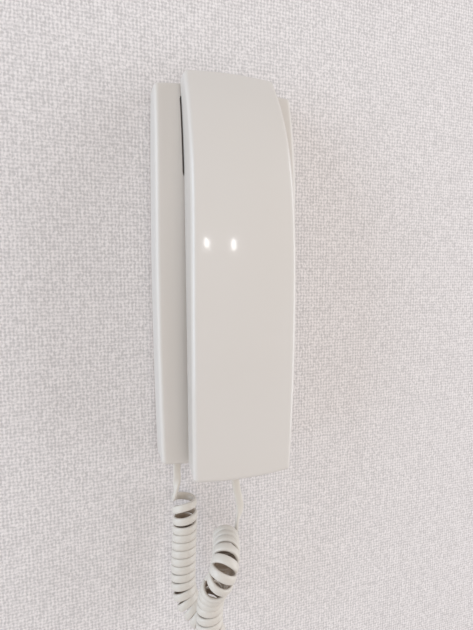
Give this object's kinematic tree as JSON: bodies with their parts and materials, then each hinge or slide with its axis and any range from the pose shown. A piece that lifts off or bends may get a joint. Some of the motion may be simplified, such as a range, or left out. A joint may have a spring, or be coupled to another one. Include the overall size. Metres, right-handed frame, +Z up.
{
  "type": "wall interphone handset station",
  "caption": "Slim wall interphone: a curved off-white handset hung on a shallow wall base, joined to it by a short coiled cord.",
  "frame": {"origin": "midway between the two wall-screw holes, on the back of the base, in the plane of the wall", "axes": "+X to the right as one faces the wall, +Y into the wall, +Z up; the front faces -Y"},
  "size_m": [0.08, 0.0656, 0.3151],
  "materials": {
    "housing": "glossy moulded ABS",
    "back": "fine satin",
    "cord": "soft PVC",
    "board": "solder mask",
    "black": "satin",
    "core": "laminated",
    "steel": "zinc plated",
    "can": "satin",
    "sleeve": "shrunk sleeve",
    "foam": "foam",
    "lever": "acetal"
  },
  "bodies": {
    "base": {"base_back": "back", "base_cover": "housing", "circuit_board": "board", "speech_transformer": "core", "board_capacitors": "sleeve", "terminal_block": "back", "terminal_screws": "steel", "call_sounder": "black", "hook_switch": "black", "hook_pin": "steel", "hook_spring": "steel", "board_screws": "steel", "case_screw": "steel", "base_cord_relief": "cord", "cord_lead_base": "cord", "cord_coil": "cord", "cord_lead_handset": "cord"},
    "lever": {"hook_lever": "lever"},
    "handset": {"handset_front": "housing", "handset_rear": "housing", "receiver_capsule": "can", "receiver_gasket": "foam", "microphone_capsule": "can", "microphone_boot": "foam", "handset_screws": "steel", "handset_cord_relief": "cord"}
  },
  "joints": [
    {"name": "handset_lift", "type": "slide", "parent": "base", "child": "handset", "axis": [0, -0.9397, 0.342], "range_m": [0, 0.06]},
    {"name": "hook_hinge", "type": "hinge", "parent": "base", "child": "lever", "pos_m": [0, -0.0145, 0.008], "axis": [1, 0, 0], "range_deg": [0, 14]}
  ],
  "couplings": [
    {"joint": "hook_hinge", "follows": "handset_lift", "rad_per_m": 4.0724}
  ]
}
